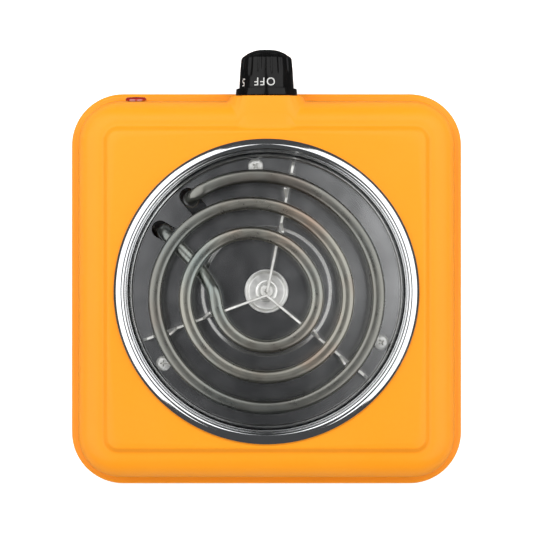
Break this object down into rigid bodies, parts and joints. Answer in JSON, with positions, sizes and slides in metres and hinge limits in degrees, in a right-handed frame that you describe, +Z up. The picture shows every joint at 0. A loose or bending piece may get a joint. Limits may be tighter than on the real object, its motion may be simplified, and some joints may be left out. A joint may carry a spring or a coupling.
{
  "type": "hot plate burner",
  "caption": "Single coil hot plate: painted square body, chrome ring, dark drip pan, spiral tube heater, front dial knob, pilot lamp and rubber feet.",
  "frame": {"origin": "on the ground, at the middle of the whole object's footprint", "axes": "+Z up, -Y to the front where the knob is, +X to the right of a person facing the rear from the knob side"},
  "size_m": [0.21, 0.232, 0.066],
  "materials": {
    "paint": "satin orange-yellow enamel",
    "zinc_steel": "zinc-plated sheet",
    "foot_rubber": "matt black",
    "screw_steel": "zinc-plated",
    "ring_chrome": "polished",
    "disc_chrome": "polished, spun",
    "pan_steel": "dark satin",
    "heater_tube": "satin, heat tinted",
    "strip_steel": "bright strip",
    "knob_plastic": "glossy black",
    "lens_red": "clear red",
    "bulb_glass": "clear",
    "ceramic": "unglazed white",
    "brass": "turned",
    "lead_sleeve": "braided glass sleeve"
  },
  "bodies": {
    "body": {"upper_shell": "paint", "base_plate": "zinc_steel", "foot_1": "foot_rubber", "foot_2": "foot_rubber", "foot_3": "foot_rubber", "foot_4": "foot_rubber", "foot_screw_1": "screw_steel", "foot_screw_2": "screw_steel", "foot_screw_3": "screw_steel", "foot_screw_4": "screw_steel", "trim_ring": "ring_chrome", "drip_pan": "pan_steel", "centre_disc": "disc_chrome", "centre_screw": "screw_steel", "centre_nut": "screw_steel", "pan_screw_1": "screw_steel", "pan_screw_2": "screw_steel", "pan_screw_3": "screw_steel", "pan_bracket_1": "zinc_steel", "pan_bracket_2": "zinc_steel", "pan_bracket_3": "zinc_steel", "heating_coil": "heater_tube", "coil_support_v": "strip_steel", "coil_support_arm": "strip_steel", "coil_insulator_1": "ceramic", "coil_insulator_2": "ceramic", "coil_terminal_1": "screw_steel", "coil_terminal_2": "screw_steel", "thermostat_nut": "brass", "thermostat_bracket": "zinc_steel", "fixed_contact": "brass", "bimetal_strip": "strip_steel", "stack_front": "ceramic", "stack_middle": "ceramic", "stack_rear": "ceramic", "stack_rivet": "screw_steel", "lamp_lens": "lens_red", "lamp_bulb": "bulb_glass", "lamp_clip": "strip_steel", "terminal_block": "ceramic", "terminal_screw_1": "brass", "terminal_screw_2": "brass", "cord_gland": "foot_rubber", "earth_screw": "screw_steel", "lead_live": "lead_sleeve", "lead_switched": "lead_sleeve", "lead_return": "lead_sleeve", "lead_lamp": "lead_sleeve"},
    "control": {"knob": "knob_plastic", "thermostat_spindle": "brass"},
    "pin": {"adjusting_pin": "ceramic"},
    "moving_contact": {"contact_arm": "brass"}
  },
  "joints": [
    {"name": "knob_turn", "type": "hinge", "parent": "body", "child": "control", "pos_m": [0, -0.0904, 0.0395], "axis": [0, 1, 0], "range_deg": [0, 300]},
    {"name": "pin_slide", "type": "slide", "parent": "body", "child": "pin", "axis": [0, 1, 0], "range_m": [0, 0.00101]},
    {"name": "contact_swing", "type": "hinge", "parent": "body", "child": "moving_contact", "pos_m": [0.024, -0.0722, 0.0395], "axis": [0, 0, -1], "range_deg": [0, 2.41]}
  ],
  "couplings": [
    {"joint": "pin_slide", "follows": "knob_turn", "m_per_rad": 0.00019099},
    {"joint": "contact_swing", "follows": "knob_turn", "ratio": 0.0079577}
  ]
}
